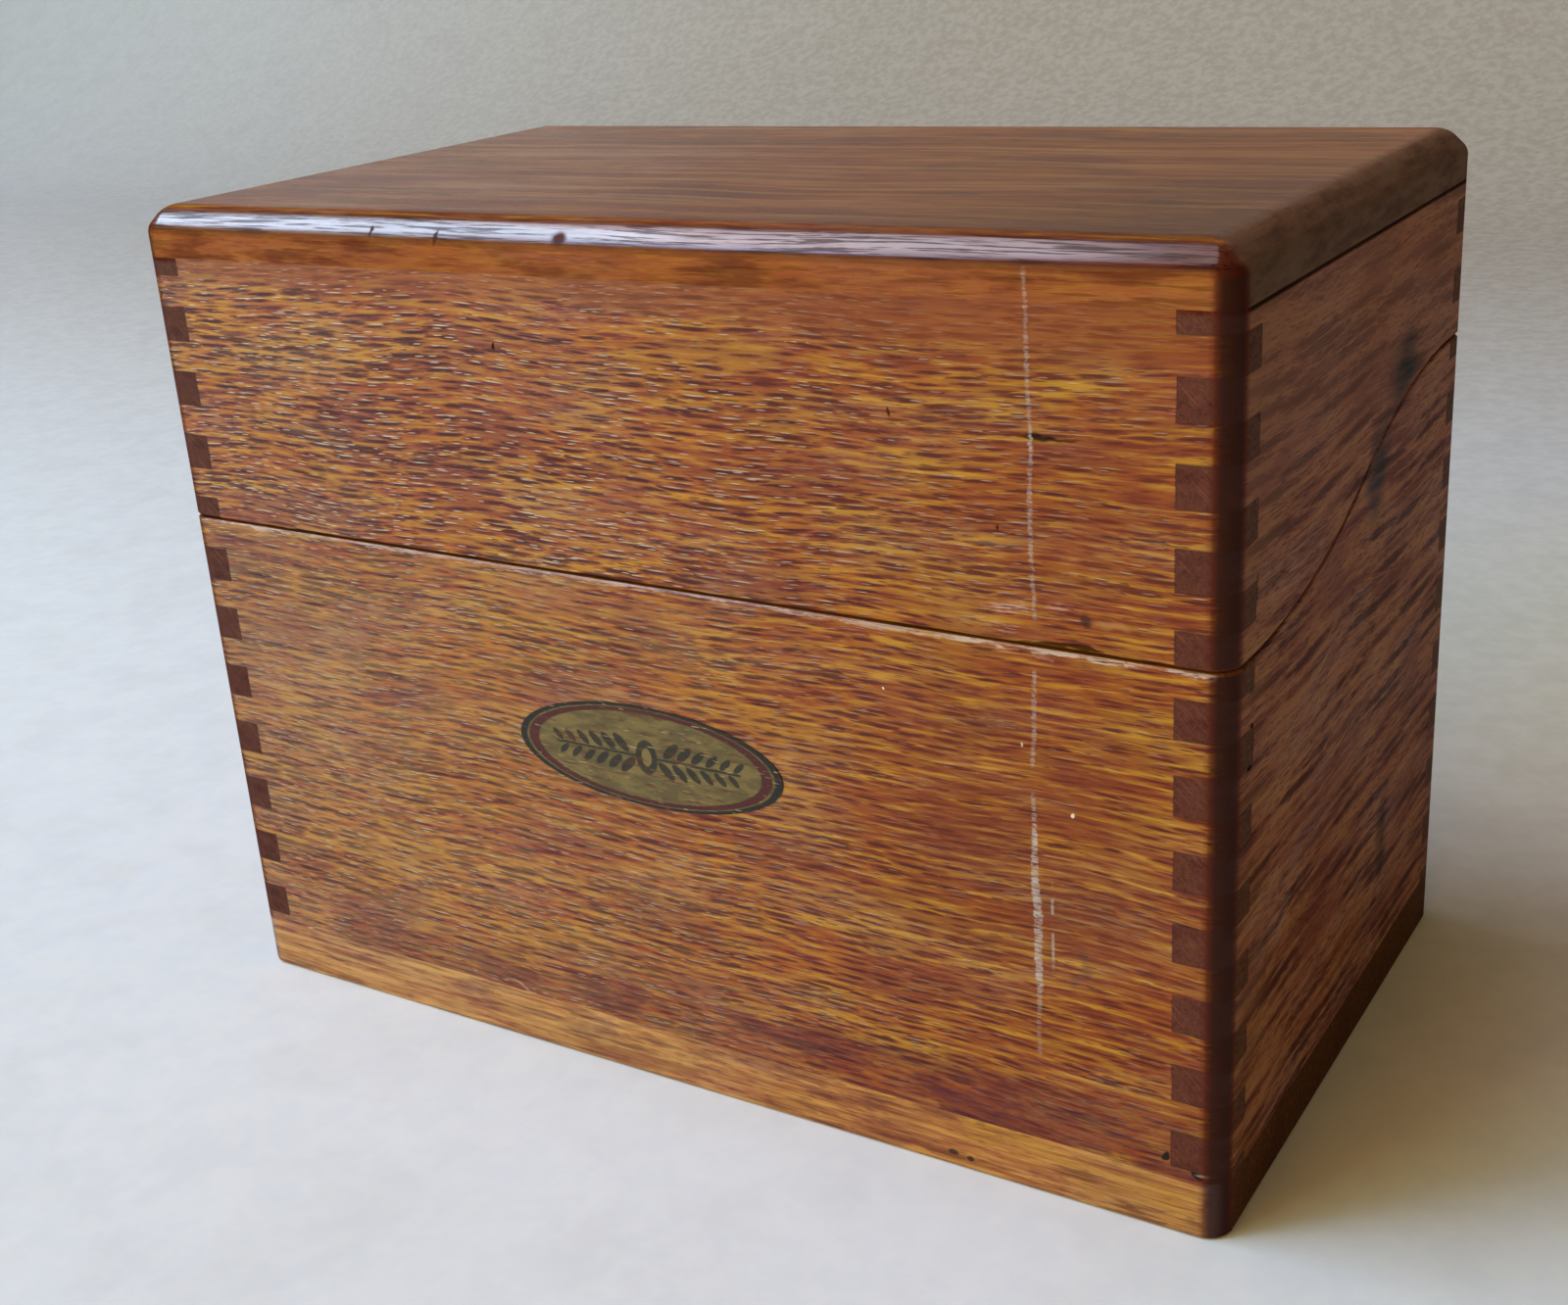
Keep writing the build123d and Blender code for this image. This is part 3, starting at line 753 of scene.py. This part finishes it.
# Painted shade darkens the bevel and the rounding under it, which face the lamps, most at the right
top.lay("54200f", front_edge * top.facing["Z"].eased(0.02, 0.2) * 0.5)
top.lay("4a1c12", bevel * (top.x.eased(0.0, 0.07) * 0.3 + 0.4))
top.lay("1f0d12", bevel * scored * 0.6)
bevel_middle = top.z.eased(0.1053, 0.1063) * (1 - top.z.eased(0.1066, 0.1077) * 0.45)
bevel_middle = bevel_middle * (1 - top.x.eased(0.05, 0.069) * 0.75)
even_wear = 1 - 0.08 * top.x.eased(-0.05, -0.01) - 0.22 * top.x.eased(0.01, 0.07)
bevel_polish = bevel * bevel_middle * even_wear * (1 - dents_and_shade) * (1 - scored * 0.75)
face_polish = upper_face * (top.x.eased(0.02, -0.05) * 0.12 + 0.33)
polish = bevel_polish.most(face_polish) + 0.05
top.varnish(polish * (1 - top_corner * 0.9), TOP_GLOSS)

# ---------------------------------------------------------------------------------------------
# Transfer. A printed film, wetted and slid on to the front before the last varnish: an olive oval
# with a dark line round it and a sprig of leaves, now yellowed, rubbed and flecked by the grain.

TRANSFER_X = 0.0004
TRANSFER_Z = 0.0452
TRANSFER_HALF_WIDTH = 0.019
TRANSFER_HALF_HEIGHT = 0.0065
LEAF_PAIRS = 6
FIRST_LEAF = 0.0032
LEAF_STEP = 0.0019
LEAF_SIZE = 0.0013
LEAF_SHRINKS_BY = 0.00009
LEAF_TILT = 0.75

film, film_place = empty_material("transfer_film")
centred = film_place.vector("SUBTRACT", (TRANSFER_X, FRONT_FACE, TRANSFER_Z))
printed = swayed(centred, (0.00008, 0, 0.00008), 0.0006, 101.0)
across = abs(printed.part("X"))
rise = printed.part("Z")
rim = far_from(printed, (0, 0, 0), (TRANSFER_HALF_WIDTH, 1, TRANSFER_HALF_HEIGHT))

# The ground is olive, mottled with age, with a red line and then a black one round it
aged = noise(film_place, "X", 0.004, 0.0012, 102.0, 3, 0.65)
paint = overlay(colour("5e5230"), colour("7a6a3e"), aged.eased(0.4, 0.62))
paint = overlay(paint, colour("4a1a14"), rim.eased(0.84, 0.86) * rim.eased(0.94, 0.92))
paint = overlay(paint, colour("1c1a12"), rim.eased(0.935, 0.955))

# The sprig's left half is the right one mirrored, with an oval bud between them
mirrored = printed.node("ShaderNodeCombineXYZ", None, {0: across, 2: rise})
stem = abs(rise).eased(0.00022, 0.0001) * across.eased(0.0136, 0.013)
ink = stem.most(spot(mirrored, (0, 0, 0), (0.0017, 1, 0.0024), 0.15))
for leaf in range(LEAF_PAIRS):
    out = FIRST_LEAF + leaf * LEAF_STEP
    size = LEAF_SIZE - leaf * LEAF_SHRINKS_BY
    for up in (1, -1):
        leaf_place = mirrored.vector("SUBTRACT", (out + up * 0.0004, 0, up * size * 1.05))
        tilt = {"Vector": leaf_place, "Angle": up * LEAF_TILT}
        tilted = leaf_place.node("ShaderNodeVectorRotate", {"rotation_type": "Y_AXIS"}, tilt)
        ink = ink.most(spot(tilted, (0, 0, 0), (size * 1.25, 1, size * 0.5), 0.2))
paint = overlay(paint, colour("1d1e14"), ink * 0.9)
paint = overlay(paint, colour("7d6b3c"), spot(mirrored, (0, 0, 0), (0.0008, 1, 0.0013), 0.2))

# It is rubbed through to the wood along the grain, and flecked with dried polish
film_wood = swayed(film_place, (0, 0, 0.0012), 0.04, 11.7)
rubbed = noise(film_wood, "X", 0.0034, 0.0004, 104.0, 2, 0.6)
flecked = noise(film_wood, "X", 0.0022, 0.00025, 105.0, 1)
paint = overlay(paint, colour("5a2c16"), rubbed.eased(0.58, 0.66) * 0.7)
paint = overlay(paint, colour("b9a684"), flecked.eased(0.68, 0.74) * 0.6)
film_finish = {
    "Base Color": paint,
    "Roughness": rubbed * 0.3 + 0.3,
    "Specular IOR Level": 0.0,
    "Coat Weight": 0.8,
    "Coat Roughness": 0.2,
    "Normal": bumpy(aged - ink * 0.2, 0.4, 0.00004),
}
give_finish(film, film_place, film_finish)
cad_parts["front_transfer"].material_slots[0].material = film

# ---------------------------------------------------------------------------------------------
# Hinges. Two narrow butt hinges, stamped from brass sheet and rolled round a brass pin, let into
# the sawn edges of the back board. Their faces are rubbed, their hollows brown with tarnish.

LEAF_TARNISH = 0.5
PIN_TARNISH = 0.2


def brass(name, tarnish, seed):
    """Old brass: yellow where it is rubbed, brown where polish and damp have dulled it."""
    metal, place = empty_material(name)
    clouds = noise(place, "X", 0.003, 0.003, seed, 4, 0.65)
    spots = noise(place, "X", 0.0006, 0.0006, seed + 1, 2)
    scratches = noise(place, "X", 0.012, 0.00012, seed + 2, 2)
    dull_from = 0.62 - tarnish * 0.3
    dull = clouds.eased(dull_from, dull_from + 0.16).most(spots.eased(0.66, 0.74) * 0.8)
    tone = overlay(colour("b58a42"), colour("8c6a34"), clouds.eased(0.35, 0.6))
    finish = {
        "Base Color": overlay(tone, colour("4a3420"), dull * 0.8),
        "Metallic": 1 - dull * 0.35,
        "Roughness": dull * 0.3 + 0.3,
        "Normal": bumpy(scratches + spots * 0.5, 0.3, 0.00003),
    }
    give_finish(metal, place, finish)
    return metal


for hand, leaf_seed, pin_seed in (("left", 111.0, 123.0), ("right", 117.0, 127.0)):
    leaf_brass = brass(f"hinge_brass_{hand}", LEAF_TARNISH, leaf_seed)
    pin_brass = brass(f"pin_brass_{hand}", PIN_TARNISH, pin_seed)
    for piece in ("base_leaf", "lid_leaf"):
        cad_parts[f"hinge_{hand}_{piece}"].material_slots[0].material = leaf_brass
    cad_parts[f"hinge_{hand}_pin"].material_slots[0].material = pin_brass

# ---------------------------------------------------------------------------------------------
# Screws. Small countersunk slotted brass screws that hold the hinge leaves, with grime in their
# slots, and duller than the leaves because nothing rubs them.

SCREW_TARNISH = 0.8

for half, seed in (("base", 131.0), ("lid", 137.0)):
    screw_brass = brass(f"{half}_screw_brass", SCREW_TARNISH, seed)
    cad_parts[f"{half}_hinge_screws"].material_slots[0].material = screw_brass

# ---------------------------------------------------------------------------------------------
# Paper sweep, which isn't part of the box. One long sheet of pale paper that it stands on, bent up
# behind it. Painted shade greys it far behind, and a yellowish painted shadow lies behind the box.

PAPER_HALF_WIDTH = 3.0
PAPER_FRONT = -3.0
PAPER_BEND = 0.55
PAPER_BEND_RADIUS = 0.35
PAPER_BEND_ANGLE = math.radians(80)
PAPER_BEND_STEPS = 24
PAPER_LEAN = 0.3
PAPER_RISE = 1.6

sweep = bmesh.new()
front_line = [sweep.verts.new((x, PAPER_FRONT, 0)) for x in (-PAPER_HALF_WIDTH, PAPER_HALF_WIDTH)]
sweep.edges.new(front_line)


def run_paper(edges, offset):
    """Carry the paper's last edge on by an offset, and return the new last edge."""
    grown = bmesh.ops.extrude_edge_only(sweep, edges=edges)["geom"]
    verts = [v for v in grown if isinstance(v, bmesh.types.BMVert)]
    bmesh.ops.translate(sweep, verts=verts, vec=offset)
    new_edges = [e for e in grown if isinstance(e, bmesh.types.BMEdge)]
    return [e for e in new_edges if all(v in verts for v in e.verts)]


floor_edge = run_paper(sweep.edges[:], (0, PAPER_BEND - PAPER_FRONT, 0))
bent = bmesh.ops.spin(
    sweep,
    geom=floor_edge,
    cent=(0, PAPER_BEND, PAPER_BEND_RADIUS),
    axis=(1, 0, 0),
    angle=PAPER_BEND_ANGLE,
    steps=PAPER_BEND_STEPS,
)
bent_edge = [e for e in bent["geom_last"] if isinstance(e, bmesh.types.BMEdge)]
run_paper(bent_edge, (0, PAPER_LEAN, PAPER_RISE))
paper_mesh = bpy.data.meshes.new("paper_sweep")
sweep.to_mesh(paper_mesh)
sweep.free()
paper_mesh.polygons.foreach_set("use_smooth", [True] * len(paper_mesh.polygons))
paper = bpy.data.objects.new("paper_sweep", paper_mesh)
bpy.context.scene.collection.objects.link(paper)

# Painted shade greys it towards the back, but less far to the left, and its fibres mottle it
paper_material, paper_place = empty_material("paper")
paper_x = paper_place.part("X")
paper_y = paper_place.part("Y")
far_back = (paper_y + paper_x.eased(0.0, 0.5) * 0.1).eased(-0.05, 0.58)
far_back = far_back * (1 - paper_x.eased(-0.3, -1.3))
paper_tone = overlay(colour("dfe4ee"), colour("aea49a"), far_back)
# A yellowish painted shadow lies behind the box's right side
painted_shadow = spot(paper_place, (0.09, 0.135, 0), (0.14, 0.17, 1), 1.0)
paper_tone = overlay(paper_tone, colour("d1c697"), painted_shadow * 0.65)
mottle = noise(paper_place, "X", 0.004, 0.004, 141.0, 3, 0.6)
clouds = noise(paper_place, "Z", 0.03, 0.014, 142.0, 3, 0.6)
paper_tone = overlay(paper_tone, colour("faf8f4"), mottle.eased(0.35, 0.65) * 0.14)
paper_tone = overlay(paper_tone, colour("9c958c"), clouds.eased(0.4, 0.7) * 0.08)
paper_finish = {
    "Base Color": paper_tone,
    "Roughness": 0.9,
    "Specular IOR Level": 0.2,
    "Normal": bumpy(mottle, 0.3, 0.0002),
}
give_finish(paper_material, paper_place, paper_finish)
paper_mesh.materials.append(paper_material)

# ---------------------------------------------------------------------------------------------
# Room and lamps. The box stands near a window at its left, with the sky above it. The room in front
# is dimmer and warmer, and a little pale light comes back from the wall behind at the right.

BOX_MIDDLE = (0.0, 0.0, 0.05)

# Eyes and reflections see a paler room than the dim warm one that lights the box
world = bpy.data.worlds.new("room")
world.use_nodes = True
world.node_tree.nodes.clear()
rays = Value(world.node_tree.nodes.new("ShaderNodeLightPath").outputs["Is Camera Ray"])
seen = together(rays, rays.output("Is Glossy Ray"), rays.output("Is Transmission Ray"))
room_light = {"Color": (1.0, 0.68, 0.15, 1), "Strength": 0.075}
room_seen = {"Color": (0.38, 0.37, 0.35, 1), "Strength": 1.0}
dim_room = rays.node("ShaderNodeBackground", None, room_light)
pale_room = rays.node("ShaderNodeBackground", None, room_seen)
mixed = rays.node("ShaderNodeMixShader", None, {0: seen, 1: dim_room, 2: pale_room})
world_output = world.node_tree.nodes.new("ShaderNodeOutputWorld")
world.node_tree.links.new(mixed.socket, world_output.inputs["Surface"])
bpy.context.scene.world = world


def lamp(name, place, size, power, tint):
    """A soft oblong lamp, turned to the middle of the box."""
    light = bpy.data.lights.new(name, "AREA")
    light.shape = "RECTANGLE"
    light.size, light.size_y = size
    light.energy = power
    light.color = tint
    holder = bpy.data.objects.new(name, light)
    holder.location = place
    holder.rotation_euler = (Vector(BOX_MIDDLE) - Vector(place)).to_track_quat("-Z", "Y").to_euler()
    bpy.context.scene.collection.objects.link(holder)


lamp("window", (-0.9, -0.42, 1.05), (0.9, 0.45), 9.2, (0.58, 0.77, 1.0))
lamp("high_window", (-0.5, -0.2, 1.4), (0.8, 0.8), 8.6, (0.85, 0.85, 1.0))
lamp("room_left", (-0.9, -1.1, 0.6), (1.0, 0.8), 8.7, (0.77, 1.0, 0.42))
lamp("room_front", (-0.1, -1.3, 0.7), (1.0, 0.8), 7.0, (1.0, 0.52, 0.12))
lamp("side_window", (-0.75, -0.7, 1.0), (0.45, 0.45), 2.4, (0.2, 0.4, 1.0))
lamp("room_right", (0.8, 0.75, 0.45), (0.9, 0.7), 0.9, (1.0, 0.9, 0.6))

# ---------------------------------------------------------------------------------------------
# Camera. It looks down on the box from close in front of it and to its right, held a little askew.

EYE = Vector((0.131354, -0.212879, 0.139644))
AIM = Vector((-0.011116, 0.006160, 0.039026))
ROLL = math.radians(-3.98)
LENS = 45.27
SENSOR_WIDTH = 36
NEAREST = 0.01

camera_data = bpy.data.cameras.new("camera")
camera_data.lens = LENS
camera_data.sensor_width = SENSOR_WIDTH
camera_data.sensor_fit = "HORIZONTAL"
camera_data.clip_start = NEAREST
camera = bpy.data.objects.new("camera", camera_data)
turn = (AIM - EYE).to_track_quat("-Z", "Y").to_matrix().to_4x4() @ Matrix.Rotation(ROLL, 4, "Z")
camera.matrix_world = Matrix.Translation(EYE) @ turn
bpy.context.scene.collection.objects.link(camera)
bpy.context.scene.camera = camera
bpy.context.scene.view_settings.view_transform = "Standard"
